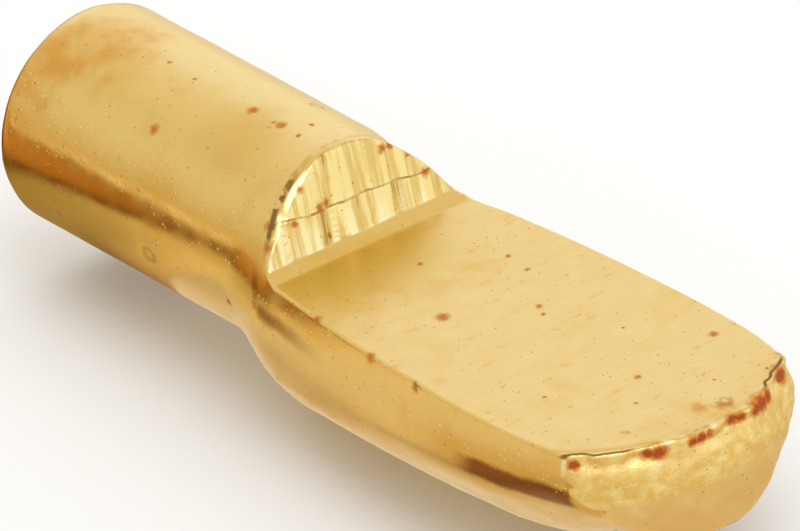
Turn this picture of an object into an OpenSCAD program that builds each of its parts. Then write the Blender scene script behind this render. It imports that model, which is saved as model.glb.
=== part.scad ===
// Spoon-style shelf support pin: a round shank that plugs into a cabinet hole, and a
// paddle with a flat seat that carries the shelf. Pressed from one length of rod.
//
// Frame: +X along the shank's axis towards the paddle's tip, +Z up out of the seat.
// The origin is on the shank's axis where the heel first swells out of the shank,
// which is the plane of the cabinet wall when the pin is pushed home.

/* [Shank] */
// Diameter of the shank, a free fit in a 6.35 mm hole
shank_d = 6.2; // [5:0.1:8]
// Length of the shank from the cabinet wall to its far end
shank_len = 9.04; // [6:0.02:14]
// Rounding of the far end's rim
shank_rim_r = 0.25; // [0.1:0.05:1]
// Growth of the neck's radius from the cabinet wall to the step, where the press upset the rod
neck_swell = 0.06; // [0.03:0.01:0.12]

/* [Seat] */
// Height of the shelf seat above the shank's axis
seat_h = 0.75; // [0.3:0.05:1.2]
// Distance from the cabinet wall to the foot of the step's sheared face
step_x = 2.4; // [1.8:0.02:3]
// Lean of the sheared face back from upright, in degrees
step_lean = 19.8; // [5:0.1:30]
// Height of the ramp between the seat and the foot of the sheared face
ramp_h = 0.23; // [0.1:0.01:0.4]
// Length of that ramp along the seat
ramp_len = 0.49; // [0.3:0.01:0.8]

/* [Belly] */
// How far the belly's widest ring stands out beyond the shank's radius
belly_proud = 0.89; // [0.7:0.01:1.4]
// How far the belly's axis lies under the shank's axis, at the foot of the step
belly_drop = 0.69; // [0.4:0.01:0.9]
// Rise of the belly's axis towards the tip, in degrees
belly_tilt = 5.65; // [4:0.05:7]
// Distance from the step to the belly's widest ring
belly_wide_x = 8.6; // [6.5:0.1:10.5]
// Lengthwise radius of the belly's side, from its heel to its widest ring
belly_back_r = 80; // [60:1:120]
// Lengthwise radius of the belly's side, from its widest ring to the tip
belly_front_r = 22; // [16:1:40]
// Radius of the heel that stops the pin at the cabinet wall
heel_r = 4.67; // [4:0.01:5.4]
// Distance that the heel's curve runs back from the step, inside the shank
heel_back = 3.9; // [3.4:0.05:4.5]

/* [Tip] */
// Distance from the cabinet wall to the end of the tip
tip_x = 16.44; // [13.5:0.02:20]
// Radius of the tip's outline, seen from above
tip_r = 5.2; // [4.6:0.1:6.4]
// Height of the sheared face at the end of the tip, below the seat
tip_face_h = 1.5; // [1:0.05:2.2]
// Radius of the ball-shaped underside behind the tip
nose_r = 7; // [6:0.1:9]

/* [Hidden] */
$fn = 180;
long_fn = 720;            // segments of the belly's long, shallow arcs
shank_r = shank_d / 2;
belly_r = shank_r + belly_proud;
shank_root = 1.2;         // how far the neck runs on into the belly, past the step
nose_clear = 0.04;        // gap between the nose's envelope and the belly's widest ring
spare = 5;                // how far the cutters reach past the pin
envelope_len = 30;        // length of the nose's envelope behind its ball

// Along the belly's own axis, counted from the foot of the step
heel_s = heel_r - heel_back;
heel_off = belly_radius_back(heel_s) - heel_r;
tip_drop = belly_drop + seat_h - tip_face_h;
tip_run = tip_x - step_x;
crease_s = tip_run * cos(belly_tilt) + tip_drop * sin(belly_tilt);
crease_h = tip_drop * cos(belly_tilt) - tip_run * sin(belly_tilt);
nose_h = nose_r - belly_r - nose_clear;
nose_s = crease_s - sqrt(pow(nose_r, 2) - pow(nose_h - crease_h, 2));

// Radius of the belly behind its widest ring, at a distance s along its axis
function belly_radius_back(s) =
    belly_r - belly_back_r + sqrt(pow(belly_back_r, 2) - pow(belly_wide_x - s, 2));

// Half of a disc of radius r that lies beyond the axis, cut to the stretch from s0 to s1
module arc_slice(r, off, s, s0, s1) {
    intersection() {
        translate([off, s]) circle(r = r, $fn = long_fn);
        translate([0, s0]) square([belly_r + spare, s1 - s0]);
    }
}

// Turns a profile drawn as radius against length into a solid along +X
module turned() {
    rotate([0, 90, 0]) rotate_extrude() children();
}

// Straight round shank as far as the cabinet wall, then the slightly swollen neck
module shank() {
    neck_end = step_x + shank_root;
    translate([-shank_len, 0, 0]) turned() {
        square([shank_r - shank_rim_r, shank_len]);
        translate([0, shank_rim_r]) square([shank_r, shank_len - shank_rim_r]);
        translate([shank_r - shank_rim_r, shank_rim_r]) circle(r = shank_rim_r);
    }
    turned() polygon([
        [0, 0],
        [shank_r, 0],
        [shank_r + neck_swell * neck_end / step_x, neck_end],
        [0, neck_end]
    ]);
}

// Barrel of the paddle: heel arc, long side arc and shorter front arc, all in line
module barrel() {
    turned() {
        arc_slice(heel_r, heel_off, heel_s, heel_s - heel_r, heel_s);
        arc_slice(belly_back_r, belly_r - belly_back_r, belly_wide_x, heel_s, belly_wide_x);
        arc_slice(belly_front_r, belly_r - belly_front_r, belly_wide_x, belly_wide_x,
            crease_s + spare);
    }
}

// Round-ended rod that trims the barrel to the ball-shaped underside of the tip
module nose_envelope() {
    translate([nose_s, 0, nose_h]) {
        sphere(r = nose_r);
        rotate([0, -90, 0]) cylinder(r = nose_r, h = envelope_len);
    }
}

module belly() {
    translate([step_x, 0, -belly_drop]) rotate([0, -belly_tilt, 0]) intersection() {
        barrel();
        nose_envelope();
    }
}

// Everything above the seat and the ramp, in front of the sheared face
module shear_cut() {
    foot_h = seat_h + ramp_h;
    top = shank_r + spare;
    reach = tip_x + spare;
    rotate([90, 0, 0]) linear_extrude(height = 4 * belly_r, center = true) polygon([
        [step_x, foot_h],
        [step_x + ramp_len, seat_h],
        [reach, seat_h],
        [reach, top],
        [step_x - (top - foot_h) * tan(step_lean), top]
    ]);
}

// Outline of the pin from above: straight behind, round at the tip
module tip_outline() {
    middle = tip_x - tip_r;
    translate([0, 0, -2 * belly_r]) linear_extrude(height = 4 * belly_r) {
        translate([middle, 0]) circle(r = tip_r);
        translate([-shank_len - spare, -2 * belly_r])
            square([shank_len + spare + middle, 4 * belly_r]);
    }
}

module pin() {
    color([0.85, 0.68, 0.36]) intersection() {
        difference() {
            union() {
                shank();
                belly();
            }
            shear_cut();
        }
        tip_outline();
    }
}

pin();
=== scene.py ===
"""Shelf support pin: the looks of a brass-plated, spoon-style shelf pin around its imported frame.

One mesh stands for the CAD node `pin`. It is cast from the pin's spine onto a shape function that
repeats the CAD solid, except that the tip's underside is fuller (see side_wall), and adds what a
press leaves on the metal: soft edges, a striated shear face, a ragged burr at the tip and dents.
Lengths inside the shape functions are millimetres in the frame's own axes; the mesh is in metres.
"""

import math

import bmesh
import bpy
import numpy as np
from mathutils import Matrix, Vector


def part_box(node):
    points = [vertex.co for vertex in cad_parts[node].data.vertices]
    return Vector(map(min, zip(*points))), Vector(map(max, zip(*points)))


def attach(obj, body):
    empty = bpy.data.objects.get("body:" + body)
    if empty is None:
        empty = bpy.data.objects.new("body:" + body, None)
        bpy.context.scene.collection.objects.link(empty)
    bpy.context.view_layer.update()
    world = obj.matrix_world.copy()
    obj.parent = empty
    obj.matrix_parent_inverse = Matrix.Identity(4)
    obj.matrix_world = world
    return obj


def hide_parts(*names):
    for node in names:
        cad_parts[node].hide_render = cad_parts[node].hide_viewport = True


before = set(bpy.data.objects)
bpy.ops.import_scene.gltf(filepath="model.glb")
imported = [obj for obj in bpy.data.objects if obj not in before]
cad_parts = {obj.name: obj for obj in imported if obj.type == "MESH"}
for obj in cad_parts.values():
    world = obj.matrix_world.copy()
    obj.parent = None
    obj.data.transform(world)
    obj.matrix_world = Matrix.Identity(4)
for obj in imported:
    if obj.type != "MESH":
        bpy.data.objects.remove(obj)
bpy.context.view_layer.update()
MM = 0.001

# ---------------- sizes, from the CAD model
PIN_LOW, PIN_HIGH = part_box("pin")
SHANK_END = PIN_LOW.x / MM  # far end of the shank
TIP_X = PIN_HIGH.x / MM     # end of the tip
FLOOR_Z = PIN_LOW.z / MM    # lowest point of the belly
SHANK_R = 3.1
RIM_R = 0.25
NECK_SWELL = 0.06
NECK_ROOT = 0.6             # how far the neck runs on into the belly
SEAT_H = 0.75
STEP_X = 2.4
STEP_LEAN = math.radians(19.8)
RAMP_H = 0.23
RAMP_LEN = 0.49
BELLY_R = SHANK_R + 0.89
BELLY_DROP = 0.69
BELLY_TILT = math.radians(5.65)
BELLY_WIDE = 8.6
BELLY_BACK_R = 80.0
BELLY_FRONT_R = 22.0
HEEL_R = 4.67
HEEL_BACK = 3.9
TIP_R = 5.2
TIP_FACE_H = 1.5
NOSE_R = 7.0
NOSE_CLEAR = 0.04
TIP_C = TIP_X - TIP_R       # centre of the tip's round outline

# ---------------- what the press left
RIM_SOFTNESS = 1.17 * RIM_R  # gives the far rim about its radius
NECK_BLEND = 0.42            # softness of the crease where the heel meets the shank
SEAT_EDGE = 0.10             # softness of the seat's long edges
RIM_EDGE = 0.30              # how much softer the step's near rim is than the seat's edges
FOLD_EDGE = 0.20             # and how much softer the tip's edge is where its burr folds over
TIP_EDGE = 0.05              # softness of the tip's sheared edges
CORNER_EDGE = 0.22           # how much softer its near corner is
NOSE_EDGE = 0.25             # softness of the crease under the tip's face
FAR_SHOULDER = 0.17          # metal missing from the neck's far shoulder
NOSE_TRIM = 0.16             # metal missing from under the tip
WALL_LOW = -1.0              # height at which the paddle's sides are widest
WALL_LEAN = 0.18             # how much those sides lean in for each millimetre of rise
WALL_ROUND = 0.3             # softness of the turn at the widest height
WALL_START = 2.6             # where the sides begin along the pin
WALL_BOTTOM = -2.4           # height at which the sides' flat underside lies
WALL_EDGE = 0.5              # softness of the sides' lower edges
WALL_INSET = 0.02            # how far the sides lie inside the barrel at the seat
CORNER_INSET = 0.10          # how far the blunt corner lies inside the barrel
SIDE_BLEND = 0.2             # softness where the sides meet the barrel
NOSE_BLEND = 0.3             # softness where the barrel meets the ball of the nose
CORNER_SLOPE = math.radians(47.5)  # slope of the blunt corner under the sides


# ---------------- noise and soft minima
def soft_max(a, b, k):
    """The larger of two distances, rounded over a band k wide where they are alike."""
    h = np.maximum(k - np.abs(a - b), 0.0) / k
    return np.maximum(a, b) + h * h * k / 4


def soft_min(a, b, k):
    return -soft_max(-a, -b, k)


def smooth(a, b, x):
    """0 below a, 1 above b, and a smooth ramp between them."""
    t = np.clip((x - a) / (b - a), 0.0, 1.0)
    return t * t * (3 - 2 * t)


def lattice(ix, iy, iz, seed):
    """A repeatable random number from -1 to 1 for each whole-number point."""
    n = ix * 374761393 + iy * 668265263 + iz * 1274126177 + seed * 974711
    n = (n ^ (n >> 13)) * 1103515245
    n = (n ^ (n >> 16)) & 0x7FFFFFFF
    return n / 1073741823.5 - 1.0


def noise(x, y, z, seed):
    """Smooth value noise from -1 to 1, with features about one unit across."""
    cell = [np.floor(c).astype(np.int64) for c in (x, y, z)]
    part = [c - f for c, f in zip((x, y, z), cell)]
    fade = [p * p * (3 - 2 * p) for p in part]
    total = np.zeros_like(part[0])
    for dx in (0, 1):
        for dy in (0, 1):
            for dz in (0, 1):
                weight = np.ones_like(total)
                for f, d in zip(fade, (dx, dy, dz)):
                    weight = weight * (f if d else 1 - f)
                total += weight * lattice(cell[0] + dx, cell[1] + dy, cell[2] + dz, seed)
    return total


# ---------------- shape of the pin
def back_radius(s):
    """Radius of the belly behind its widest ring."""
    return BELLY_R - BELLY_BACK_R + np.sqrt(BELLY_BACK_R ** 2 - (BELLY_WIDE - s) ** 2)


def nose_centre():
    """Centre of the ball-shaped underside, along and above the belly's own axis."""
    drop, run = BELLY_DROP + SEAT_H - TIP_FACE_H, TIP_X - STEP_X
    crease_s = run * math.cos(BELLY_TILT) + drop * math.sin(BELLY_TILT)
    crease_h = drop * math.cos(BELLY_TILT) - run * math.sin(BELLY_TILT)
    h = NOSE_R - BELLY_R - NOSE_CLEAR
    return crease_s - math.sqrt(NOSE_R ** 2 - (h - crease_h) ** 2), h


def shank_shape(x, y, z):
    """Distance outside the round shank and its swelling neck."""
    side = np.hypot(y, z) - SHANK_R - NECK_SWELL * np.maximum(x, 0) / STEP_X
    body = soft_max(side, SHANK_END - x, RIM_SOFTNESS)
    return np.maximum(body, x - STEP_X - NECK_ROOT)


def barrel_shape(x, y, z):
    """Distance outside the belly: heel, side and front arcs, trimmed by the ball of the nose."""
    run, rise = x - STEP_X, z + BELLY_DROP
    s = run * math.cos(BELLY_TILT) + rise * math.sin(BELLY_TILT)
    h = rise * math.cos(BELLY_TILT) - run * math.sin(BELLY_TILT)
    radius = np.hypot(y, h)
    heel_s = HEEL_R - HEEL_BACK
    heel_off = back_radius(heel_s) - HEEL_R
    heel = np.hypot(radius - heel_off, s - heel_s) - HEEL_R
    back = radius - back_radius(np.clip(s, heel_s, BELLY_WIDE))
    ahead = np.clip(s - BELLY_WIDE, 0, BELLY_FRONT_R)
    front = radius - BELLY_R + BELLY_FRONT_R - np.sqrt(BELLY_FRONT_R ** 2 - ahead ** 2)
    barrel = np.where(s < heel_s, heel, np.where(s < BELLY_WIDE, back, front))
    nose_s, nose_h = nose_centre()
    nose = np.sqrt(np.maximum(s - nose_s, 0) ** 2 + y ** 2 + (h - nose_h) ** 2) - NOSE_R
    return soft_max(barrel, nose, NOSE_BLEND)


def seat_half_width(x):
    """Half the seat's width at a station, out to the barrel's side."""
    run, rise = x - STEP_X, SEAT_H + BELLY_DROP
    s = run * math.cos(BELLY_TILT) + rise * math.sin(BELLY_TILT)
    h = rise * math.cos(BELLY_TILT) - run * math.sin(BELLY_TILT)
    ahead = np.clip(s - BELLY_WIDE, 0, BELLY_FRONT_R)
    front = BELLY_R - BELLY_FRONT_R + np.sqrt(BELLY_FRONT_R ** 2 - ahead ** 2)
    radius = np.where(s < BELLY_WIDE, back_radius(s), front)
    return np.sqrt(np.maximum(radius ** 2 - h ** 2, 0))


def side_wall(x, y, z):
    """The paddle's sides: they lean in towards the seat, and a blunt corner ends them below.

    The ball of the nose doesn't trim them, so the tip's underside is fuller than the CAD solid's.
    """
    turn = math.hypot(SEAT_H - WALL_LOW, WALL_ROUND) - np.hypot(z - WALL_LOW, WALL_ROUND)
    swell = WALL_LEAN * turn
    station = np.clip(x, STEP_X, TIP_X)
    wall = np.abs(y) - seat_half_width(station) - swell * smooth(2.0, 4.5, x) + WALL_INSET
    lift = BELLY_DROP - (station - STEP_X) * math.sin(BELLY_TILT)
    ahead = np.clip((station - STEP_X) - BELLY_WIDE, 0, BELLY_FRONT_R)
    radius = BELLY_R - BELLY_FRONT_R + np.sqrt(BELLY_FRONT_R ** 2 - ahead ** 2)
    reach = radius + lift * math.sin(CORNER_SLOPE) - CORNER_INSET
    corner = np.abs(y) * math.cos(CORNER_SLOPE) - z * math.sin(CORNER_SLOPE) - reach
    bar = soft_max(wall, corner, WALL_EDGE)
    bar = soft_max(bar, WALL_BOTTOM - z, WALL_EDGE)
    return np.maximum(bar, WALL_START - x)


def belly_shape(x, y, z):
    """Distance outside the belly and its flat sides together."""
    return soft_min(barrel_shape(x, y, z), side_wall(x, y, z), SIDE_BLEND)


def crease_height(y):
    """Height of the wavy line where the shear's second bite starts."""
    return 1.80 - 0.045 * y + 0.03 * np.sin(1.9 * y + 0.4) + 0.018 * np.sin(5.3 * y)


def shear_marks(y, z):
    """Upright drag marks on the step's face, broken at the crease."""
    lower = smooth(0.03, -0.03, z - crease_height(y))
    lean = y - 0.08 * z + 0.05 * lower
    zero = np.zeros_like(y)
    wide = noise(lean * 2.3 + 11 * lower, zero, z * 0.18, 5)
    fine = noise(lean * 7.0 + 23 * lower, zero, z * 0.30, 6)
    finest = noise(lean * 17.0 + 31 * lower, zero, z * 0.4, 7)
    groove = -smooth(0.55, 0.85, noise(lean * 5.3 + 7, zero, z * 0.1, 8))
    marks = 0.026 * wide + 0.010 * fine + 0.003 * finest + 0.035 * groove
    return marks + 0.035 * lower


def step_face(x, y, z):
    """Distance in front of the step's leaning, striated face."""
    foot = SEAT_H + RAMP_H
    plain = (x - STEP_X) * math.cos(STEP_LEAN) + (z - foot) * math.sin(STEP_LEAN)
    return plain - shear_marks(y, z)


def tip_wave(angle, seed):
    """Noise that runs along the tip's edge."""
    return noise(angle * 7.0, np.zeros_like(angle), np.zeros_like(angle), seed)


def seat_height(x, y):
    """Height of the seat: nearly flat, with a thin ragged burr along the tip."""
    out = np.hypot(np.maximum(x - TIP_C, 0), y) - TIP_R
    angle = np.arctan2(y, np.maximum(x - TIP_C, 0.01))
    ragged = np.clip(0.25 + 0.9 * tip_wave(angle, 21) + 0.6 * tip_wave(angle * 2.7, 22), 0, 1.2)
    burr = (0.055 * ragged + 0.10 * burr_folds(x, y)) * np.exp(-((out + 0.10) / 0.08) ** 2)
    gutter = -0.025 * np.exp(-((out + 0.24) / 0.08) ** 2)
    flat = 0.012 * noise(x * 0.35, y * 0.35, np.zeros_like(x), 3)
    droop = -0.05 * smooth(0.9, 0.1, -out) * smooth(2.6, 0.5, np.abs(y - 1.2))
    return SEAT_H + flat + droop + np.where(x > TIP_C, burr + gutter, 0)


def notch(x, y, z):
    """How much of the pin lies above the seat and ramp and in front of the step's face."""
    ramp_slope = math.atan2(RAMP_H, RAMP_LEN)
    seat = z - seat_height(x, y)
    rise = z - SEAT_H
    ramp = rise * math.cos(ramp_slope) + (x - STEP_X - RAMP_LEN) * math.sin(ramp_slope)
    ground = soft_min(seat, ramp, 0.03)
    return soft_min(ground, step_face(x, y, z), 0.05)


def tip_face(x, y, z):
    """Distance outside the tip's sheared outline, with its broken, lumpy surface."""
    forward = np.maximum(x - TIP_C, 0)
    out = np.hypot(forward, y) - TIP_R
    angle = np.arctan2(y, forward + 0.01)
    zero = np.zeros_like(x)
    lumps = 0.035 * noise(angle * 9, zero, z * 1.6, 31)
    lumps = lumps + 0.018 * noise(angle * 22, zero, z * 4.0, 32)
    bites = 0.10 * smooth(-0.1, 0.7, noise(angle * 7, zero, zero, 33)) * smooth(0.25, 0.6, z)
    bites = bites + 0.035 * noise(angle * 19, zero, zero, 34) * smooth(0.35, 0.65, z)
    hollows = smooth(0.0, 0.5, noise(angle * 5, zero, zero, 35))
    recess = 0.09 * hollows * np.exp(-((z - 0.42) / 0.16) ** 2)
    flare = (0.2 + 0.032 * y) * smooth(0.75, -0.5, z)
    return out + lumps + bites + recess - flare


# Dents as (x, y, z, radius, depth); a negative depth is metal pushed out
DENTS = [
    (-2.9, -3.00, -0.75, 0.32, 0.05),   # pit low on the shank's side
    (-6.1, -2.60, -1.70, 0.50, 0.04),
    (9.2, -3.93, 0.66, 0.22, 0.07),     # nicks along the seat's near edge
    (7.4, -3.84, 0.72, 0.14, 0.04),
    (12.0, -3.85, 0.70, 0.16, 0.04),
    (15.3, 3.55, 0.15, 0.90, -0.20),    # lip pushed out at the tip's far corner
    (13.5, 3.80, 0.60, 1.60, -0.06),    # swell behind that lip
]


def missing_metal(x, y, z):
    """Where the real forging is slimmer than its nominal shape."""
    shoulder = smooth(0.8, 2.2, y) * smooth(0.3, 1.3, z)
    shoulder = shoulder * smooth(0.1, 1.4, x) * smooth(4.2, 2.9, x)
    under_tip = smooth(11.0, 15.5, x) * smooth(0.1, -1.0, z)
    return FAR_SHOULDER * shoulder + NOSE_TRIM * under_tip


def surface_wear(x, y, z):
    """Shallow unevenness of the skin and its few dents; positive takes metal away."""
    wear = 0.010 * noise(x * 0.8, y * 0.8, z * 0.8, 41) + 0.0035 * noise(x * 3, y * 3, z * 3, 42)
    for dx, dy, dz, radius, depth in DENTS:
        away = ((x - dx) ** 2 + (y - dy) ** 2 + (z - dz) ** 2) / radius ** 2
        wear = wear + depth * np.exp(-away * 2)
    return wear


def burr_folds(x, y):
    """1 where the tip's burr is folded over and 0 elsewhere."""
    folds = np.exp(-((y + 1.35) / 0.28) ** 2) + np.exp(-((y + 0.10) / 0.38) ** 2)
    return folds * smooth(TIP_C + 2, TIP_C + 4, x)


def edge_softness(x, y, z):
    """Softness of the cut's edges: rolled over on the step's near rim and where the burr folds."""
    rim = RIM_EDGE * smooth(1.2, 1.9, z) * smooth(-0.8, -1.6, y)
    return SEAT_EDGE + rim + FOLD_EDGE * burr_folds(x, y)


def pin_shape(x, y, z):
    """Negative inside the pin, positive outside, zero on its skin."""
    body = soft_min(shank_shape(x, y, z), belly_shape(x, y, z), NECK_BLEND)
    body = body + missing_metal(x, y, z) + surface_wear(x, y, z)
    corner = CORNER_EDGE * smooth(-2.9, -3.2, y) * smooth(-0.4, -0.1, z)
    body = soft_max(body, tip_face(x, y, z), TIP_EDGE + corner + NOSE_EDGE * smooth(0.2, -0.5, z))
    return soft_max(body, notch(x, y, z), edge_softness(x, y, z))


# ---------------- rays from the spine
HALF = 150                   # rays in half a ring, from the top down to the bottom
TOP_RAYS = 58                # of those, the rays that reach the seat or the step
SIDE_RAYS = 46               # the rays from the seat's edge to the crease under the tip
FAN_X = 0.9                  # where the rays start that fan out over the step
FAN_Z = -0.6
TIP_Z = -0.35                # height of the rays' start inside the tip
SPINE_Z = -0.75              # height of the spine under the seat
LONGEST_RAY = 8.0
LOW_CREASE = -0.6            # angle of the ray at which a ring's side ends and its bottom begins
END_START = SHANK_END + 2.2  # where the rays start that go to the shank's flat end
FAN_FADE = 1.1               # angle below the seat's edge over which a ray's tilt fades out
FAN_DRIFT = 0.25             # how far the fan's low rays move on with each of its stages
END_RINGS = 26               # rings over each stretch of the pin
SHANK_RINGS = 54
FAN_RINGS = (12, 44, 16)     # from upright to the rim, to the step's foot, to the ramp's end
SEAT_RINGS = 66
CORNER_RINGS = 34
TIP_RINGS = 64
REFINEMENTS = 30             # steps that settle a ray's length to the seat's edge
BISECTIONS = 40              # steps that find the tip's corner
MERGE_GAP = 2e-7             # metres within which two points become one
EMPTY_EDGE = 1e-7            # metres under which an edge counts as nothing
STRIDES = 40                 # strides in which a ray looks for the skin
HALVINGS = 13                # halvings that then close in on it


def spread(count, pull_start, pull_end):
    """count + 1 numbers from 0 to 1, crowded towards the ends that pull."""
    t = np.linspace(0, 1, count + 1)
    start = t ** (1 + pull_start)
    end = 1 - (1 - t) ** (1 + pull_end)
    return start * (1 - t) + end * t if pull_start and pull_end else (start if pull_start else end)


def half_ring(edge, crease):
    """Angles of the rays in half a ring: top, seat edge, lower crease, bottom."""
    top = math.pi / 2 + (edge - math.pi / 2) * spread(TOP_RAYS, 0, 1.1)
    side = edge + (crease - edge) * spread(SIDE_RAYS, 0.9, 0.5)
    low = crease + (-math.pi / 2 - crease) * spread(HALF - TOP_RAYS - SIDE_RAYS, 0.4, 0)
    return np.concatenate([top, side[1:], low[1:]])


# Angle of the fan's ray to the seat's edge, at the ramp's end
FAN_EDGE = math.atan2(SEAT_H - FAN_Z, float(seat_half_width(STEP_X + RAMP_LEN)))


# A ring of rays is a pair of arrays: the rays' starts and their headings
def spine_points(angle, x, z):
    """Starts in the pin's middle plane, one for each angle."""
    return np.stack([np.full_like(angle, x), 0 * angle, np.full_like(angle, z)], -1)


def upright_ring(x, z, edge):
    """Rays square to the spine."""
    angle = half_ring(edge, LOW_CREASE)
    return spine_points(angle, x, z), np.stack([0 * angle, np.cos(angle), np.sin(angle)], -1)


def end_ring(t):
    """Rays into the shank's flat end: t runs from 0 at its middle to 1 square to the spine."""
    angle = half_ring(FAN_EDGE, LOW_CREASE)
    swing = t * math.pi / 2
    heading = [np.full_like(angle, -math.cos(swing)), math.sin(swing) * np.cos(angle),
               math.sin(swing) * np.sin(angle)]
    return spine_points(angle, END_START, 0), np.stack(heading, -1)


def fan_tilts(angle):
    """Forward tilts of a ray at which it meets the step's rim, its foot and the ramp's end."""
    reach = np.maximum(angle, FAN_EDGE)
    up, out = np.sin(reach), np.cos(reach)
    foot = SEAT_H + RAMP_H
    # distance up the ray to the round neck
    rim = -FAN_Z * up + np.sqrt(SHANK_R ** 2 - (FAN_Z * out) ** 2)
    rim_z = np.maximum(FAN_Z + rim * up, foot)
    rim_x = STEP_X - (rim_z - foot) * math.tan(STEP_LEAN)
    tilts = [(rim_x - FAN_X) / ((rim_z - FAN_Z) / up)]
    tilts.append((STEP_X - FAN_X) * up / (foot - FAN_Z))
    tilts.append((STEP_X + RAMP_LEN - FAN_X) * up / (SEAT_H - FAN_Z))
    return tilts


def fan_ring(t, low_x):
    """Rays that fan over the step: t is 0 upright, 1 at the rim, 2 at the foot, 3 at the seat."""
    angle = half_ring(FAN_EDGE, LOW_CREASE)
    weight = smooth(FAN_EDGE - FAN_FADE, FAN_EDGE, angle)
    rim, foot, seat = fan_tilts(angle)
    knots = [0 * rim, rim, np.maximum(foot, rim + 0.02), np.maximum(seat, rim + 0.05)]
    i = min(int(t), 2)
    tilt = (knots[i] + (knots[i + 1] - knots[i]) * (t - i)) * weight
    x = FAN_X * weight + low_x * (1 - weight)
    return spine_points(angle, x, FAN_Z), np.stack([tilt, np.cos(angle), np.sin(angle)], -1)


def seat_ring(low_x, top_x, z):
    """Rays under the seat, easing from the fan's forward tilt back to square."""
    edge = math.atan2(SEAT_H - z, float(seat_half_width(top_x)))
    angle = half_ring(edge, LOW_CREASE)
    weight = smooth(edge - FAN_FADE, edge, angle)
    tilt = (top_x - low_x) * np.sin(np.maximum(angle, edge)) / (SEAT_H - z) * weight
    return spine_points(angle, low_x, z), np.stack([tilt, np.cos(angle), np.sin(angle)], -1)


def tip_crease(bearing):
    """Elevation of the crease under the tip's face, seen from the tip's centre."""
    corner = smooth(0.5, 0.8, bearing)
    ahead = math.atan2(-0.75 - TIP_Z, TIP_R)
    aside = math.atan2(-0.3 - TIP_Z, TIP_R)
    return ahead * (1 - corner) + corner * aside


def tip_ring(bearing):
    """Rays round the upright line through the tip's centre, at a bearing off dead ahead."""
    reach = TIP_R
    x = TIP_C
    if bearing > CORNER:
        for _ in range(REFINEMENTS):
            reach = float(seat_half_width(x)) / math.sin(bearing)
            x = TIP_C + reach * math.cos(bearing)
        reach = min(reach, TIP_R)
    edge = math.atan2(SEAT_H - TIP_Z, reach)
    t = (math.pi / 2 - bearing) / (math.pi / 2)
    crease = LOW_CREASE + (tip_crease(bearing) - LOW_CREASE) * smooth(0.0, 0.5, t)
    angle = half_ring(edge, crease)
    heading = [np.cos(angle) * math.cos(bearing), np.cos(angle) * math.sin(bearing), np.sin(angle)]
    return spine_points(angle, TIP_C, TIP_Z), np.stack(heading, -1)


def corner_bearing():
    """Bearing of the tip's corners, where its round outline meets the belly's sides."""
    low, high = TIP_C, TIP_X
    for _ in range(BISECTIONS):
        x = (low + high) / 2
        if seat_half_width(x) < math.sqrt(TIP_R ** 2 - (x - TIP_C) ** 2):
            low = x
        else:
            high = x
    return math.atan2(float(seat_half_width(low)), low - TIP_C)


CORNER = corner_bearing()


def end_and_shank_rings():
    """Rings over the shank's flat end and along the shank."""
    rings = [end_ring(t) for t in spread(END_RINGS, 0, 0)[1:-1] ** 0.8]
    for x in np.linspace(END_START, FAN_X, SHANK_RINGS):
        rings.append(upright_ring(x, FAN_Z * smooth(-4.0, FAN_X, np.array(x)), FAN_EDGE))
    return rings


def step_and_seat_rings():
    """Rings that fan over the step and the ramp, then those under the seat."""
    rings = []
    for stage, count in enumerate(FAN_RINGS):
        for t in spread(count, 0.6, 0.6)[1:]:
            rings.append(fan_ring(stage + t, FAN_X + FAN_DRIFT * (stage + t)))
    first_low = FAN_X + FAN_DRIFT * len(FAN_RINGS)
    first_top = STEP_X + RAMP_LEN
    for t in spread(SEAT_RINGS, 0, 0)[1:]:
        top_x = first_top + (TIP_C - first_top) * t
        low_x = first_low + (TIP_C - first_low) * t
        z = FAN_Z + (TIP_Z - FAN_Z) * t + (SPINE_Z - FAN_Z) * math.sin(math.pi * t)
        rings.append(seat_ring(low_x, top_x, z))
    return rings


def all_rings():
    """Every ring of rays, from the shank's far end to dead ahead at the tip."""
    rings = end_and_shank_rings() + step_and_seat_rings()
    for t in spread(CORNER_RINGS, 0.3, 0.9)[1:]:
        rings.append(tip_ring(math.pi / 2 + (CORNER - math.pi / 2) * t))
    for t in spread(TIP_RINGS, 0.7, 0)[1:]:
        rings.append(tip_ring(CORNER * (1 - t)))
    return rings


def cast(start, heading):
    """Follows each ray out to the pin's skin."""
    heading = heading / np.linalg.norm(heading, axis=-1, keepdims=True)
    near = np.zeros(start.shape[:-1])
    far = np.full(start.shape[:-1], LONGEST_RAY)
    step = LONGEST_RAY / STRIDES
    # first crossing, so that a ray never jumps a gap
    done = np.zeros(near.shape, bool)
    for k in range(1, STRIDES + 1):
        p = start + heading * (k * step)
        outside = pin_shape(p[..., 0], p[..., 1], p[..., 2]) > 0
        hit = outside & ~done
        near = np.where(hit, (k - 1) * step, near)
        far = np.where(hit, k * step, far)
        done |= outside
    for _ in range(HALVINGS):
        middle = (near + far) / 2
        p = start + heading * middle[..., None]
        inside = pin_shape(p[..., 0], p[..., 1], p[..., 2]) < 0
        near = np.where(inside, middle, near)
        far = np.where(inside, far, middle)
    return start + heading * near[..., None]


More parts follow.
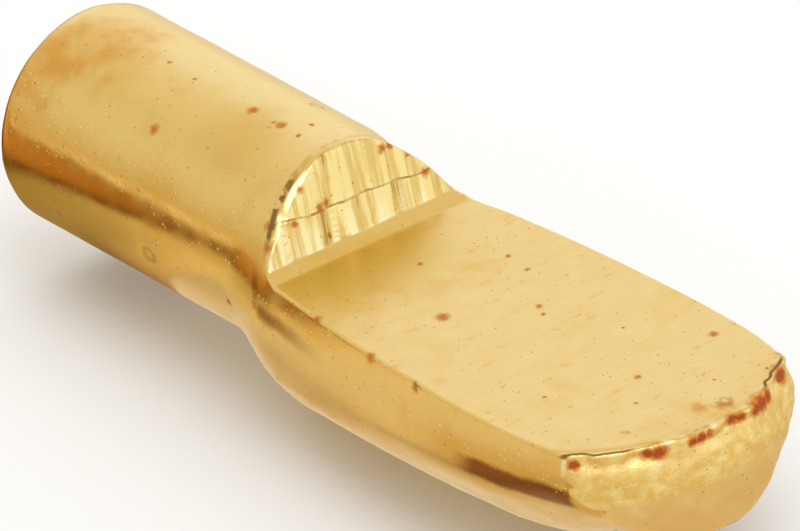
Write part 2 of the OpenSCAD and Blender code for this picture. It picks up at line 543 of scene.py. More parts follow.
def pin_mesh():
    """The pin's mesh, closed: a fan at the shank's end, rings, and a seam at the tip."""
    rings = all_rings()
    half = np.array([r[0] for r in rings]), np.array([r[1] for r in rings])
    mirror = np.array([1.0, -1.0, 1.0])
    # right half from top to bottom, then the left half back up, without repeating its ends
    start = np.concatenate([half[0], (half[0] * mirror)[:, -2:0:-1]], 1)
    heading = np.concatenate([half[1], (half[1] * mirror)[:, -2:0:-1]], 1)
    points = cast(start, heading)
    rows, columns = points.shape[:2]
    pole = cast(np.array([[END_START, 0.0, 0.0]]), np.array([[-1.0, 0.0, 0.0]]))
    coords = np.concatenate([points.reshape(-1, 3), pole])
    index = np.arange(rows * columns).reshape(rows, columns)
    # dead ahead the two halves of the last ring are one line of points
    last = index[-1].copy()
    last[HALF + 1:] = last[HALF - 1:0:-1]
    index[-1] = last
    faces = []
    around = np.roll(np.arange(columns), -1)
    for row in range(rows - 1):
        a, b = index[row], index[row + 1]
        faces += np.stack([a, a[around], b[around], b], -1).tolist()
    top = rows * columns
    faces += [[top, int(index[0][around[c]]), int(index[0][c])] for c in range(columns)]
    mesh = bpy.data.meshes.new("pin_skin")
    mesh.from_pydata((coords * MM).tolist(), [], faces)
    return mesh


def mark_cuts(mesh):
    """Writes on each point its distance in millimetres in front of the three sheared surfaces."""
    flat = np.empty(len(mesh.vertices) * 3)
    mesh.vertices.foreach_get("co", flat)
    x, y, z = flat.reshape(-1, 3).T / MM
    gaps = {"step_gap": step_face(x, y, z), "tip_gap": tip_face(x, y, z),
            "bite_gap": z - crease_height(y)}
    for name, gap in gaps.items():
        layer = mesh.attributes.new(name, "FLOAT", "POINT")
        layer.data.foreach_set("value", gap.astype(np.float32))


def tidy_mesh(mesh):
    """Merges points that coincide and points every face outwards."""
    work = bmesh.new()
    work.from_mesh(mesh)
    bmesh.ops.remove_doubles(work, verts=work.verts, dist=MERGE_GAP)
    bmesh.ops.dissolve_degenerate(work, edges=work.edges, dist=EMPTY_EDGE)
    loose = [v for v in work.verts if not v.link_faces]
    bmesh.ops.delete(work, geom=loose, context="VERTS")
    bmesh.ops.recalc_face_normals(work, faces=work.faces)
    work.to_mesh(mesh)
    work.free()
    mesh.shade_smooth()


# ---------------- nodes
class Nodes:
    """One node tree, with a short call for each kind of node that it needs."""

    def __init__(self, tree):
        self.tree = tree

    def add(self, kind, inputs=(), **settings):
        node = self.tree.nodes.new(kind)
        for name, value in settings.items():
            setattr(node, name, value)
        for socket, value in inputs:
            if isinstance(value, bpy.types.NodeSocket):
                self.tree.links.new(value, node.inputs[socket])
            else:
                node.inputs[socket].default_value = value
        return node

    def math(self, operation, a, b=0.0):
        return self.add("ShaderNodeMath", [(0, a), (1, b)], operation=operation).outputs[0]

    def times(self, a, b):
        return self.math("MULTIPLY", a, b)

    def plus(self, a, b):
        return self.math("ADD", a, b)

    def larger(self, a, b):
        return self.math("MAXIMUM", a, b)

    def ease(self, value, low, high, start=0.0, end=1.0):
        """start up to low, end from high on, with a smooth ramp between; low may be above high."""
        inputs = [("Value", value), ("From Min", low), ("From Max", high),
                  ("To Min", start), ("To Max", end)]
        return self.add("ShaderNodeMapRange", inputs, interpolation_type="SMOOTHSTEP").outputs["Result"]

    def mix(self, factor, a, b, blend="MIX"):
        colours = [c if isinstance(c, bpy.types.NodeSocket) else (*c, 1) for c in (a, b)]
        inputs = [(0, factor), (6, colours[0]), (7, colours[1])]
        return self.add("ShaderNodeMix", inputs, data_type="RGBA", blend_type=blend).outputs[2]

    def vector(self, operation, a, b):
        return self.add("ShaderNodeVectorMath", [(0, a), (1, b)], operation=operation)

    def stretch(self, place, scale, shift=(0, 0, 0)):
        moved = self.vector("ADD", place, shift).outputs[0]
        return self.vector("MULTIPLY", moved, scale).outputs[0]

    def noise(self, place, scale, detail=2.0, rough=0.5):
        inputs = [("Vector", place), ("Scale", scale), ("Detail", detail), ("Roughness", rough)]
        return self.add("ShaderNodeTexNoise", inputs).outputs["Fac"]

    def cells(self, place, scale):
        """Distance to the nearest of many scattered points, and a random number for that point."""
        node = self.add("ShaderNodeTexVoronoi", [("Vector", place), ("Scale", scale)])
        return node.outputs["Distance"], self.split(node.outputs["Color"])[0]

    def place(self):
        """The place on the mesh in millimetres."""
        metres = self.add("ShaderNodeTexCoord").outputs["Object"]
        return self.stretch(metres, (1 / MM, 1 / MM, 1 / MM))

    def facing_up(self):
        """The upward part of the skin's own direction: 1 on the seat, 0 on an upright wall."""
        return self.split(self.add("ShaderNodeNewGeometry").outputs["Normal"])[2]

    def all_of(self, *masks):
        """The product of several masks."""
        total = masks[0]
        for mask in masks[1:]:
            total = self.times(total, mask)
        return total

    def split(self, vector):
        return self.add("ShaderNodeSeparateXYZ", [(0, vector)]).outputs

    def attribute(self, name):
        return self.add("ShaderNodeAttribute", attribute_name=name).outputs["Fac"]

    def spots(self, place, centres, core=0.45):
        """1 inside round spots given as (x, y, z, radius) and 0 outside; core is the full part."""
        total = 0.0
        for x, y, z, radius in centres:
            away = self.vector("DISTANCE", place, (x, y, z)).outputs["Value"]
            total = self.larger(self.ease(away, radius, core * radius), total)
        return total

    def rings(self, place, centres):
        """1 on thin rings given as (x, y, z, radius) and 0 elsewhere."""
        total = 0.0
        for x, y, z, radius in centres:
            away = self.vector("DISTANCE", place, (x, y, z)).outputs["Value"]
            off = self.math("ABSOLUTE", self.math("SUBTRACT", away, radius))
            total = self.larger(self.ease(off, 0.6 * radius, 0.1 * radius), total)
        return total


# ---------------- material
# Colours are linear. Places are (x, y, z, radius) in millimetres.
PALE_GOLD = (0.88, 0.69, 0.33)
DEEP_GOLD = (0.82, 0.55, 0.17)
TAN_GOLD = (0.85, 0.58, 0.26)
CUT_GOLD = (0.95, 0.80, 0.40)
CUT_SHADE = (0.78, 0.58, 0.23)
# near-white that paints highlights, glints and sparkles on the metal
PAINTED_HIGHLIGHT_WHITE = (1.00, 0.93, 0.62)
RUST = (0.42, 0.110, 0.004)
RUST_RIM = (0.66, 0.27, 0.02)
RED_RUST = (0.34, 0.035, 0.005)
ORANGE_RUST = (0.60, 0.22, 0.03)
# dark of specks and pits, and of the painted shade along the rim and the tip's edge
DIRT_AND_SHADE = (0.05, 0.036, 0.010)
# golden halo of the painted dark reflection
REFLECTION_AMBER = (0.70, 0.43, 0.09)
# painted shade in the neck's crease
CREASE_SHADE_BROWN = (0.33, 0.165, 0.030)
# painted reflection of the step in the seat
STEP_REFLECTION_OLIVE = (0.72, 0.52, 0.12)
# painted dark reflection on the paddle's near side
REFLECTION_BROWN = (0.25, 0.080, 0.018)
OCHRE_CLOUD = (0.78, 0.45, 0.12)
DUSKY_CLOUD = (0.78, 0.54, 0.19)
SMEAR_OCHRE = (0.84, 0.50, 0.15)
STAIN_BROWN = (0.72, 0.38, 0.10)
TORN_GOLD = (0.88, 0.62, 0.22)
# painted shade in the step's thin grooves
GROOVE_SHADE_BROWN = (0.40, 0.26, 0.08)
# painted shade along the second bite's line
BITE_SHADE_BROWN = (0.44, 0.22, 0.05)

RUST_SPOTS = [
    (-3.60, -2.02, 2.36, 0.23), (-1.51, -0.33, 3.08, 0.25), (-0.37, -0.32, 3.08, 0.23),
    (-0.60, -0.37, 3.08, 0.12), (0.40, -0.36, 3.09, 0.13), (0.20, 0.24, 3.09, 0.12),
    (-5.05, -0.25, 3.10, 0.12), (-3.90, -0.35, 3.08, 0.10), (-6.84, -2.88, -1.14, 0.16),
    (1.80, -2.62, 1.86, 0.26), (2.10, -2.95, 1.45, 0.22), (0.45, -3.05, -0.80, 0.17),
    (1.87, -1.55, 2.52, 0.20), (2.08, -1.10, 1.90, 0.21), (2.06, -0.86, 1.95, 0.20),
    (1.80, 1.25, 2.62, 0.21), (1.80, 1.50, 2.58, 0.17), (1.97, 1.98, 2.23, 0.14),
    (2.20, 2.33, 1.64, 0.21), (2.39, -1.07, 1.17, 0.14), (2.12, -2.02, 1.79, 0.16),
    (7.16, -1.26, 0.75, 0.31), (8.49, 0.87, 0.75, 0.16), (8.88, 0.68, 0.75, 0.13),
    (12.79, 3.13, 0.75, 0.22), (13.10, 0.31, 0.75, 0.17), (12.19, -2.05, 0.75, 0.10),
    (14.09, -0.60, 0.75, 0.10), (5.90, 2.00, 0.75, 0.12), (4.90, -3.60, 0.69, 0.21),
    (3.80, -3.55, 0.42, 0.17), (7.35, -3.83, 0.66, 0.22), (4.60, 0.10, 0.75, 0.13),
    (6.80, 1.90, 0.75, 0.12), (14.60, 1.60, 0.75, 0.09), (10.9, 1.70, 0.75, 0.10),
]
TIP_RUST = [
    (16.10, 1.90, 0.57, 0.47), (16.17, 1.60, 0.55, 0.40), (15.98, 2.25, 0.59, 0.40),
    (16.28, 0.80, 0.59, 0.34), (16.26, 1.05, 0.57, 0.29), (16.32, -0.35, 0.57, 0.34),
    (16.30, -0.62, 0.57, 0.31), (16.30, -0.10, 0.59, 0.29), (16.05, -1.55, 0.53, 0.43),
    (15.95, -1.80, 0.55, 0.34), (15.25, 3.20, 0.50, 0.49), (14.98, -3.45, 0.47, 0.29),
    (14.90, -3.50, -0.10, 0.22),
]
RUST_SQUASH = 1.25  # how much wider than high those patches are
SEAT_STAINS = [(15.75, 0.95, 0.75, 0.32), (15.45, 0.40, 0.75, 0.40), (15.04, -1.74, 0.75, 0.20)]
OCHRE_CLOUDS = [(-7.1, -0.7, 3.0, 2.1), (-8.3, -1.9, 2.4, 1.7)]
# spots painted near-white as highlights: a thin glint down the tip's near corner
CORNER_GLINT = [
    (14.82, -3.62, 0.54, 0.09), (14.82, -3.63, 0.46, 0.09), (14.81, -3.65, 0.38, 0.09),
    (14.81, -3.66, 0.30, 0.09), (14.80, -3.68, 0.22, 0.08), (14.80, -3.70, 0.15, 0.07),
]
# and painted glints where the burr folds over the tip's edge
FOLD_GLINTS = [(16.22, -1.35, 0.78, 0.26), (16.40, -0.30, 0.80, 0.22), (16.42, 0.05, 0.80, 0.24)]
DUSKY_CLOUDS = [(-0.9, -1.2, 2.85, 2.0)]
RING_MARKS = [(-2.90, -3.00, -0.75, 0.20), (-0.87, 1.32, 2.80, 0.17), (15.60, 1.10, 0.75, 0.16)]
DARK_PITS = [(9.23, -3.93, 0.63, 0.15), (15.07, 2.98, 0.74, 0.07)]


def new_material(name):
    """A material with its nodes and its shader."""
    material = bpy.data.materials.new(name)
    material.use_nodes = True
    return material, Nodes(material.node_tree), material.node_tree.nodes["Principled BSDF"]


def new_object(name, data):
    """An object that puts a mesh, a light or a camera in the scene."""
    item = bpy.data.objects.new(name, data)
    bpy.context.scene.collection.objects.link(item)
    return item


def zones(n, p):
    """Masks of the pin's surfaces: step face, tip face, upward-facing seat."""
    z = n.split(p)[2]
    facing = n.facing_up()
    step_gap = n.math("ABSOLUTE", n.attribute("step_gap"))
    tip_gap = n.math("ABSOLUTE", n.attribute("tip_gap"))
    step = n.times(n.ease(step_gap, 0.07, 0.03), n.ease(z, 0.94, 0.98))
    tip = n.all_of(n.ease(tip_gap, 0.07, 0.03), n.ease(z, -0.9, -0.6), n.ease(facing, 0.8, 0.6))
    seat = n.times(n.ease(facing, 0.90, 0.97), n.ease(z, 1.0, 0.9))
    return step, tip, seat


def drag_streaks(n, p):
    """Upright streaks on the step's face, fine and broad, different below the second bite's line."""
    _, y, z = n.split(p)
    lower = n.ease(n.attribute("bite_gap"), 0.02, -0.02)
    across = n.plus(n.plus(y, n.times(z, -0.08)), n.times(lower, 17.3))
    place = n.add("ShaderNodeCombineXYZ", [(0, across), (1, n.times(z, 0.06))]).outputs[0]
    return n.noise(place, 3.4, 3.0, 0.60), n.noise(place, 1.7, 1.0)


def shaken(n, p, scale, reach):
    """The same place moved about by noise, for ragged outlines."""
    wobble = n.add("ShaderNodeTexNoise", [("Vector", p), ("Scale", scale), ("Detail", 2.0)])
    shift = n.vector("SUBTRACT", wobble.outputs["Color"], (0.5, 0.5, 0.5)).outputs[0]
    return n.vector("ADD", p, n.stretch(shift, (reach, reach, reach))).outputs[0]


def step_colour(n, p):
    """Sheared metal: cream bands, thin grooves with painted shade, painted highlights that make it
    nearly white low on the near side, and painted shade along the second bite's line.
    """
    _, y, z = n.split(p)
    streak, broad = drag_streaks(n, p)
    cut = n.mix(n.ease(streak, 0.44, 0.56), CUT_SHADE, CUT_GOLD)
    # painted highlights: near-white spots low on the face, and more low on its near side
    painted_hot_spots = n.times(n.ease(broad, 0.50, 0.62), n.ease(z, 1.9, 1.1))
    near = n.all_of(n.ease(y, -0.9, -2.0), n.ease(z, 1.9, 1.4), n.ease(streak, 0.40, 0.52))
    cut = n.mix(n.larger(painted_hot_spots, n.times(near, 0.7)), cut, PAINTED_HIGHLIGHT_WHITE)
    # painted shade in the thin grooves between the streaks
    cut = n.mix(n.ease(streak, 0.38, 0.34, 0.0, 0.8), cut, GROOVE_SHADE_BROWN)
    # painted shade along the wavy line where the second bite starts
    line = n.ease(n.math("ABSOLUTE", n.attribute("bite_gap")), 0.030, 0.008)
    line = n.times(line, n.ease(n.noise(p, 4.0, 2.0), 0.38, 0.55, 0.15, 0.75))
    return n.mix(line, cut, BITE_SHADE_BROWN)


def near_side(n, y):
    """1 far out on the side that faces the camera, and 0 elsewhere."""
    return n.ease(y, -2.9, -3.1)


def side_dark_reflection(n, p, tip):
    """Painted dark reflection: a brown streak low on the paddle's near side, with a golden halo, up to
    the tip.
    """
    x, y, z = n.split(shaken(n, p, 1.6, 0.22))
    middle = n.plus(n.times(x, 0.05), -1.26)
    half = n.ease(x, 11.0, 14.0, 0.27, 0.34)
    away = n.math("DIVIDE", n.math("ABSOLUTE", n.math("SUBTRACT", z, middle)), half)
    side = n.times(near_side(n, y), n.ease(tip, 0.0, 0.4, 1.0, 0.0))
    streak = n.all_of(n.ease(away, 1.2, 0.55), n.ease(x, 10.7, 11.8), n.ease(x, 15.1, 14.85), side)
    halo = n.all_of(n.ease(away, 3.8, 1.0), n.ease(x, 8.8, 11.0), side)
    return n.times(streak, 0.94), n.times(halo, 0.75)


def neck_crease_shade(n, p):
    """Painted shade in the crease down the neck's near side and on along the heel."""
    x, y, z = n.split(shaken(n, p, 2.5, 0.15))
    down = n.math("ABSOLUTE", n.plus(n.plus(x, -2.08), n.times(z, 0.2)))
    down = n.all_of(n.ease(down, 0.24, 0.03), n.ease(z, -0.30, -0.1), n.ease(z, 0.95, 0.5, 0.0, 0.6))
    along = n.math("ABSOLUTE", n.plus(n.plus(z, 0.06), n.times(x, 0.035)))
    along = n.all_of(n.ease(along, 0.36, 0.04), n.ease(x, 2.0, 2.4), n.ease(x, 5.6, 2.5, 0.0, 0.95))
    return n.times(n.larger(down, along), near_side(n, y))


def ramp_foot_reflection(n, p, seat):
    """Painted reflection of the step: a dull golden patch on the seat at the foot of the ramp."""
    x, y, z = n.split(p)
    return n.all_of(seat, n.ease(x, 6.2, 3.0), n.ease(y, 2.6, -0.5), n.ease(z, 0.80, 0.76))


def plating_colour(n, p, z, seat):
    """The plating: golds in clouds, with stripes, smears and stains on the seat."""
    cloud = n.noise(p, 0.55, 4.0, 0.6)
    colour = n.mix(n.ease(cloud, 0.48, 0.72, 0.0, 0.55), PALE_GOLD, DEEP_GOLD)
    under = n.times(n.ease(z, -0.2, -1.6), n.ease(n.noise(p, 0.9, 3.0), 0.35, 0.6, 0.4, 1.0))
    colour = n.mix(under, colour, TAN_GOLD)
    ochre = n.spots(shaken(n, p, 1.1, 2.4), OCHRE_CLOUDS, 0.3)
    ochre = n.times(ochre, n.ease(n.noise(p, 1.5, 4.0, 0.6), 0.35, 0.62, 0.45, 0.9))
    colour = n.mix(ochre, colour, OCHRE_CLOUD)
    dusk = n.spots(shaken(n, p, 0.8, 1.2), DUSKY_CLOUDS, 0.1)
    colour = n.mix(n.times(dusk, 0.55), colour, DUSKY_CLOUD)
    stripes = n.noise(n.stretch(p, (5.5, 0.55, 1.0)), 1.0, 3.0, 0.6)
    smears = n.noise(n.stretch(p, (3.2, 1.1, 1.0)), 1.0, 3.0, 0.6)
    colour = n.mix(n.times(seat, n.ease(stripes, 0.52, 0.72, 0.0, 0.30)), colour, DEEP_GOLD)
    colour = n.mix(n.times(seat, n.ease(smears, 0.60, 0.72, 0.0, 0.55)), colour, SMEAR_OCHRE)
    stains = n.spots(shaken(n, p, 3.0, 0.5), SEAT_STAINS, 0.2)
    return n.mix(n.times(seat, stains), colour, STAIN_BROWN)


def torn_colour(n, p):
    """The tip's broken face: two golds, with small near-white spots painted as glints."""
    torn = n.mix(n.ease(n.noise(p, 2.4, 4.0, 0.65), 0.38, 0.66), TORN_GOLD, CUT_GOLD)
    # painted glints: small near-white spots
    glints = n.noise(p, 9.0, 3.0, 0.7)
    return n.mix(n.ease(glints, 0.60, 0.70, 0.0, 0.7), torn, PAINTED_HIGHLIGHT_WHITE)


def brass_colour(n, p, step, tip, seat):
    """The metal's colour with its painted highlights, reflections and crease shade, without rust and
    dirt.
    """
    z = n.split(p)[2]
    colour = plating_colour(n, p, z, seat)
    colour = n.mix(step, colour, step_colour(n, p))
    colour = n.mix(tip, colour, torn_colour(n, p))
    # painted highlights: glints on the burr's folds and down the tip's near corner
    folds = n.times(n.spots(p, FOLD_GLINTS, 0.5), n.ease(z, 0.66, 0.72))
    folds = n.larger(folds, n.spots(p, CORNER_GLINT, 0.6))
    colour = n.mix(folds, colour, PAINTED_HIGHLIGHT_WHITE)
    # painted reflection of the step in the seat
    colour = n.mix(n.times(ramp_foot_reflection(n, p, seat), 0.85), colour, STEP_REFLECTION_OLIVE)
    # painted dark reflection low on the near side, and its golden halo
    streak, halo = side_dark_reflection(n, p, tip)
    colour = n.mix(halo, colour, REFLECTION_AMBER)
    # painted shade in the neck's crease
    colour = n.mix(neck_crease_shade(n, p), colour, CREASE_SHADE_BROWN)
    return n.mix(streak, colour, REFLECTION_BROWN)


def rim_and_tip_edge_shade(n, p):
    """Painted shade in the groove outside the step's rim, dark on the near side, and along the tip's
    edge.
    """
    _, y, z = n.split(p)
    behind = n.attribute("step_gap")
    groove = n.times(n.ease(behind, -0.36, -0.27), n.ease(behind, -0.12, -0.17))
    ragged = n.ease(n.noise(p, 3.5, 3.0), 0.38, 0.5)
    near = n.all_of(n.ease(y, -1.2, -1.7), n.ease(y, -3.1, -2.8), n.ease(z, 1.3, 1.7))
    dark = n.all_of(groove, ragged, n.ease(near, 0.0, 1.0, 0.28, 0.9), n.ease(z, 1.0, 1.3))
    # painted dark line just inside the tip's edge
    edge = n.attribute("tip_gap")
    edge_line_shade = n.times(n.ease(edge, -0.17, -0.12), n.ease(edge, -0.02, -0.06))
    near_run = n.times(n.ease(y, -2.0, -2.3), n.ease(y, -3.9, -3.6))
    far_run = n.times(n.ease(y, 2.1, 2.4), n.ease(y, 3.7, 3.5))
    runs = n.larger(near_run, far_run)
    edge_line_shade = n.all_of(edge_line_shade, n.ease(z, 0.6, 0.68), runs)
    return n.larger(dark, n.times(edge_line_shade, 0.9))


def blemishes_and_shade(n, p):
    """Rust, dirt, specks and painted shade: a colour, and how far it covers the plating."""
    ragged = shaken(n, p, 8.0, 0.16)
    rust = n.spots(ragged, RUST_SPOTS, 0.2)
    flat_rust = [(x, y, RUST_SQUASH * z, radius) for x, y, z, radius in TIP_RUST]
    red = n.spots(n.stretch(ragged, (1, 1, RUST_SQUASH)), flat_rust, 0.1)
    # pits, with the painted shade of the rim's groove and the tip's edge
    pits_and_shade = n.larger(n.times(n.spots(ragged, DARK_PITS), 0.8), rim_and_tip_edge_shade(n, p))
    pits_and_shade = n.larger(pits_and_shade, n.times(n.rings(shaken(n, p, 4.0, 0.3), RING_MARKS), 0.42))
    distance, chance = n.cells(shaken(n, p, 6.0, 0.3), 1.9)
    specks = n.times(n.ease(distance, 0.17, 0.05), n.ease(chance, 0.66, 0.80))
    fine_distance, fine_chance = n.cells(p, 5.0)
    dots = n.times(n.ease(fine_distance, 0.22, 0.08), n.ease(fine_chance, 0.70, 0.85))
    colour = n.mix(n.ease(rust, 0.3, 0.9), RUST_RIM, RUST)
    colour = n.mix(n.ease(red, 0.0, 0.1), colour, n.mix(n.ease(red, 0.35, 0.9), ORANGE_RUST, RED_RUST))
    colour = n.mix(n.larger(pits_and_shade, n.times(dots, 0.8)), colour, DIRT_AND_SHADE)
    cover = n.larger(n.times(rust, 0.9), n.ease(red, 0.02, 0.55, 0.0, 0.93))
    cover = n.larger(cover, pits_and_shade)
    return colour, n.larger(cover, n.larger(n.times(specks, 0.5), n.times(dots, 0.5)))


def sparkle_dots(n, p, step, tip):
    """Tiny sparkling dots on the shank's and the paddle's sides: bumps, and in the colour painted
    glints.
    """
    z = n.split(p)[2]
    away, chance = n.cells(p, 8.0)
    dots = n.times(n.ease(away, 0.36, 0.10), n.ease(chance, 0.42, 0.95))
    band = n.times(n.ease(z, 2.7, 1.8), n.ease(z, -0.7, 0.0))
    patchy = n.ease(n.noise(p, 1.1, 2.0), 0.34, 0.50)
    facing = n.facing_up()
    cuts = n.larger(n.ease(facing, 0.78, 0.84), n.larger(step, tip))
    smooth_skin = n.ease(cuts, 0.3, 0.0)
    return n.all_of(dots, band, patchy, smooth_skin)


def brass_bump(n, p, step, tip, seat):
    """Height of the skin's finest texture, in micrometres."""
    grain = n.noise(p, 9.0, 3.0, 0.6)
    lines = n.noise(n.stretch(p, (9.0, 0.7, 1.0)), 1.0, 3.0, 0.7)
    streak, _ = drag_streaks(n, p)
    torn = n.times(n.noise(p, 6.0, 4.0, 0.75), tip)
    height = n.plus(n.times(grain, 1.1), n.times(sparkle_dots(n, p, step, tip), 5.0))
    height = n.plus(height, n.times(n.times(lines, seat), 1.4))
    height = n.plus(height, n.times(torn, 30.0))
    return n.plus(height, n.times(n.times(streak, step), 13.0))


def brass_material():
    """Brass plating with its colours, rust and dirt, painted shade and highlights, roughness and fine
    texture.
    """
    material, n, shader = new_material("brass_plating")
    p = n.place()
    step, tip, seat = zones(n, p)
    # rust, dirt, specks and painted shade
    stain_and_shade, cover = blemishes_and_shade(n, p)
    # painted glints: tiny near-white sparkles in the plating
    painted_sparkle = n.times(sparkle_dots(n, p, step, tip), 0.9)
    plating = n.mix(painted_sparkle, brass_colour(n, p, step, tip, seat), PAINTED_HIGHLIGHT_WHITE)
    colour = n.mix(cover, plating, stain_and_shade)
    roughness = n.ease(n.noise(p, 1.4, 4.0), 0.3, 0.7, 0.16, 0.25)
    roughness = n.plus(roughness, n.times(seat, 0.10))
    roughness = n.plus(roughness, n.times(ramp_foot_reflection(n, p, seat), 0.14))
    roughness = n.plus(roughness, n.times(tip, 0.06))
    roughness = n.larger(roughness, n.times(cover, 0.75))
    bump = n.add("ShaderNodeBump", [("Height", brass_bump(n, p, step, tip, seat)), ("Distance", 1e-6)])
    links = n.tree.links
    links.new(colour, shader.inputs["Base Color"])
    links.new(n.ease(cover, 0.45, 0.9, 1.0, 0.15), shader.inputs["Metallic"])
    shader.inputs["Specular IOR Level"].default_value = 0.05
    links.new(roughness, shader.inputs["Roughness"])
    links.new(bump.outputs[0], shader.inputs["Normal"])
    return material


# ---------------- studio
FLOOR_SIZE = 0.6
FLOOR_X = 0.004                      # middle of the floor along the pin
FLOOR_COLOUR = (0.76, 0.81, 0.96)
MATT = 0.9                           # roughness of the floor and the card
CARD_START, CARD_END = -5.0, -100.0  # the card's edges along the pin
CARD_NEAR, CARD_FAR = -70.0, 10.0    # and across it
CARD_LIFT = 0.02                     # how far the card lies over the floor
CARD_LINE = -11.9                    # place of the card's dark line along the pin
LINE_BOW = 0.06                      # how the line curves away, beyond LINE_BOW_FROM aside
LINE_BOW_FROM = 10.0
LINE_BEND = 0.7                      # how far it runs off for each millimetre nearer than LINE_BEND_TO
LINE_BEND_TO = 9.2
STRIP_WIDTH = 0.3                    # width of a strip on the line, before what it grows by
STRIP_GROWTH = 0.16                  # what it grows by for each millimetre aside
STRIP_SPREAD = 0.35                  # and for each millimetre nearer than LINE_BEND_TO
# Colours of the card, by the distance past its dark line in strip widths
CARD_TONES = [
    (-8.0, (0.82, 0.67, 0.41)), (-3.0, (0.66, 0.52, 0.28)), (-1.1, (0.50, 0.37, 0.15)),
    (-0.40, (0.22, 0.12, 0.035)),
    (0.0, (0.10, 0.038, 0.011)), (0.35, (0.17, 0.068, 0.015)), (0.9, (0.32, 0.130, 0.020)),
    (4.0, (0.43, 0.22, 0.055)), (9.0, (0.56, 0.36, 0.12)), (16.0, (0.68, 0.48, 0.20)),
]
CARD_SHADE = (0.62, 0.62, 0.50)  # how much darker the card is near its far end


def floor():
    """A plain pale floor that touches the belly's lowest point and isn't seen in the metal."""
    bpy.ops.mesh.primitive_plane_add(size=FLOOR_SIZE, location=(FLOOR_X, 0, FLOOR_Z * MM))
    plane = bpy.context.object
    plane.name = "floor"
    material, _, shader = new_material("pale_floor")
    shader.inputs["Base Color"].default_value = (*FLOOR_COLOUR, 1)
    shader.inputs["Roughness"].default_value = MATT
    plane.data.materials.append(material)
    plane.visible_glossy = False


def tone_ramp(n, value, tones):
    """Colours run along a value, given as (value, colour) pairs."""
    low, high = tones[0][0], tones[-1][0]
    inputs = [("Value", value), ("From Min", low), ("From Max", high)]
    ramp = n.add("ShaderNodeValToRGB", [(0, n.add("ShaderNodeMapRange", inputs).outputs["Result"])])
    elements = ramp.color_ramp.elements
    while len(elements) < len(tones):
        elements.new(0.5)
    for element, (level, colour) in zip(elements, tones):
        element.position = (level - low) / (high - low)
        element.color = (*colour, 1)
    return ramp.outputs["Color"]


def card_colour(n):
    """Tones beside a dark line that bows away from the pin, darker under the shank's far end."""
    x, y, _ = n.split(n.place())
    aside = n.math("ABSOLUTE", y)
    beyond = n.larger(n.plus(aside, -LINE_BOW_FROM), 0.0)
    close = n.larger(n.math("SUBTRACT", LINE_BEND_TO, aside), 0.0)
    bow = n.plus(n.times(n.math("POWER", beyond, 2.0), LINE_BOW), n.times(close, LINE_BEND))
    line = n.math("SUBTRACT", CARD_LINE, bow)
    strip = n.plus(n.plus(n.times(aside, STRIP_GROWTH), STRIP_WIDTH), n.times(close, STRIP_SPREAD))
    past_line = n.math("DIVIDE", n.math("SUBTRACT", line, x), strip)
    shade = n.all_of(n.ease(aside, 9.0, 4.5), n.ease(x, -5.5, -8.5), n.ease(past_line, 0.0, -0.6))
    return n.mix(shade, tone_ramp(n, past_line, CARD_TONES), CARD_SHADE, "MULTIPLY")


def side_card():
    """A brown card on the floor beyond the shank, seen only in the metal's reflections."""
    corners = [(CARD_START, CARD_NEAR), (CARD_START, CARD_FAR), (CARD_END, CARD_FAR),
               (CARD_END, CARD_NEAR)]
    level = FLOOR_Z + CARD_LIFT
    mesh = bpy.data.meshes.new("side_card")
    mesh.from_pydata([(x * MM, y * MM, level * MM) for x, y in corners], [], [(0, 1, 2, 3)])
    card = new_object("side_card", mesh)
    material, n, shader = new_material("card")
    n.tree.links.new(card_colour(n), shader.inputs["Base Color"])
    shader.inputs["Roughness"].default_value = MATT
    shader.inputs["Specular IOR Level"].default_value = 0.0
    mesh.materials.append(material)
    card.visible_camera = False
    card.visible_diffuse = False
    card.visible_shadow = False


CAMERA_TURN = math.radians(52.0)
CAMERA_LIFT = math.radians(29.44)
CAMERA_ROLL = math.radians(-3.435)
CAMERA_DISTANCE = 486.8       # from the step's foot
CAMERA_AIM = (0.924, -0.123)  # how far right of and above that foot the view is centred
SENSOR_WIDTH = 36.0
VIEW_WIDTH = 800 / 38.42      # what the picture's width spans at the pin



def camera():
    """A long lens from the paddle's side, 29 degrees up, turned 3.4 degrees about its axis."""
    turn, lift, roll = CAMERA_TURN, CAMERA_LIFT, CAMERA_ROLL
    back = Vector((math.sin(turn) * math.cos(lift), -math.cos(turn) * math.cos(lift), math.sin(lift)))
    right = Vector((math.cos(turn), math.sin(turn), 0))
    up = back.cross(right)
    right, up = (right * math.cos(roll) + up * math.sin(roll),
                 up * math.cos(roll) - right * math.sin(roll))
    place = Vector((STEP_X, 0, 0)) + right * CAMERA_AIM[0] + up * CAMERA_AIM[1]
    place = place + back * CAMERA_DISTANCE
    data = bpy.data.cameras.new("camera")
    data.sensor_width = SENSOR_WIDTH
    data.lens = CAMERA_DISTANCE * SENSOR_WIDTH / VIEW_WIDTH
    data.clip_start, data.clip_end = 0.01, 10.0
    cam = new_object("camera", data)
    cam.matrix_world = Matrix.Translation(place * MM) @ Matrix((right, up, back)).transposed().to_4x4()
    bpy.context.scene.camera = cam


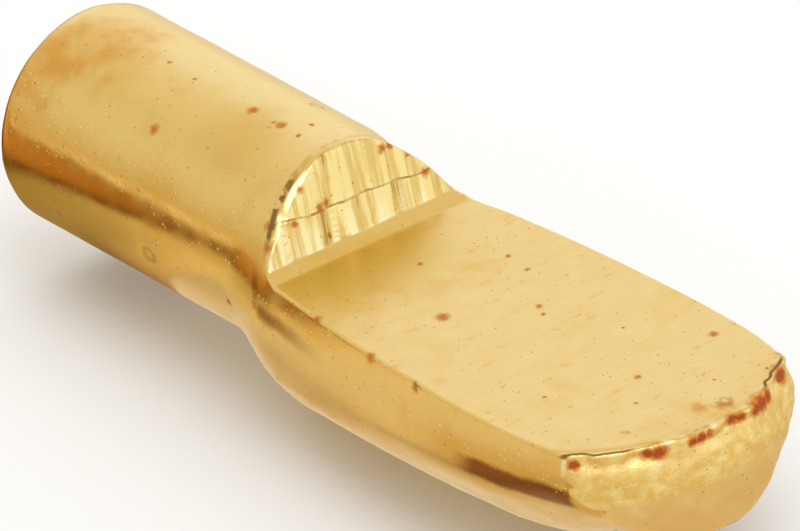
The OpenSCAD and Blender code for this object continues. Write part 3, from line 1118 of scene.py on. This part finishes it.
# Colours that the room shows a mirror, by the height of the direction (-1 straight down, 1 up)
LEFT_ROOM = [
    (-1.00, (0.82, 0.67, 0.41)), (-0.80, (0.72, 0.58, 0.34)), (-0.62, (0.62, 0.49, 0.27)),
    (-0.52, (0.76, 0.61, 0.36)), (-0.30, (0.88, 0.70, 0.40)), (-0.08, (0.71, 0.51, 0.22)),
    (0.02, (0.70, 0.50, 0.21)), (0.21, (0.77, 0.65, 0.40)), (0.44, (0.83, 0.73, 0.48)),
    (0.70, (0.80, 0.68, 0.42)), (1.00, (0.80, 0.68, 0.40)),
]
RIGHT_ROOM = [
    (-1.00, (0.84, 0.69, 0.43)), (-0.55, (0.80, 0.67, 0.45)), (-0.15, (0.88, 0.78, 0.55)),
    (0.10, (1.05, 1.00, 0.80)), (0.50, (1.00, 0.97, 0.90)), (0.66, (0.92, 0.83, 0.62)),
    (0.82, (0.84, 0.70, 0.42)), (1.00, (0.80, 0.68, 0.40)),
]
LEFT_WAY = (-0.788, -0.616, 0.0)  # towards the darker side of the room
LEFT_EASE = (0.45, 0.78)          # cosines from that way between which the room changes
KEY_WAY = (0.48, -0.12, 0.869)    # towards the soft box
KEY_EASE = (0.92, 0.975)          # cosines from that way between which the box fades in
KEY_STRENGTH = 2.5
KEY_BLUE = 0.95                   # blue in the box's light against its red and green
FILL_STRENGTH = 1.0
FILL_ANGLE = 1.5                  # width of the fill in radians, for a soft shadow


def studio_light():
    """A soft bright room, darker and warmer on one side, with one soft box above the tip."""
    world = bpy.data.worlds.new("studio")
    bpy.context.scene.world = world
    world.use_nodes = True
    n = Nodes(world.node_tree)
    way = n.add("ShaderNodeTexCoord").outputs["Generated"]
    height = n.split(way)[2]
    left = n.ease(n.vector("DOT_PRODUCT", way, LEFT_WAY).outputs["Value"], *LEFT_EASE)
    room = n.mix(left, tone_ramp(n, height, RIGHT_ROOM), tone_ramp(n, height, LEFT_ROOM))
    key = n.ease(n.vector("DOT_PRODUCT", way, KEY_WAY).outputs["Value"], *KEY_EASE)
    colour = n.mix(key, room, (KEY_STRENGTH, KEY_STRENGTH, KEY_BLUE * KEY_STRENGTH))
    world.node_tree.links.new(colour, world.node_tree.nodes["Background"].inputs["Color"])
    bpy.context.scene.view_settings.view_transform = "Standard"
    fill = bpy.data.lights.new("floor_fill", "SUN")
    fill.energy = FILL_STRENGTH
    fill.angle = FILL_ANGLE
    new_object("floor_fill", fill).visible_glossy = False


def main():
    """Builds the studio and the pin."""
    camera()
    studio_light()
    floor()
    side_card()
    mesh = pin_mesh()
    tidy_mesh(mesh)
    mark_cuts(mesh)
    pin = new_object("pin_body", mesh)
    mesh.materials.append(brass_material())
    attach(pin, "root")
    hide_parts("pin")
    print("pin triangles", sum(len(p.vertices) - 2 for p in mesh.polygons))


main()
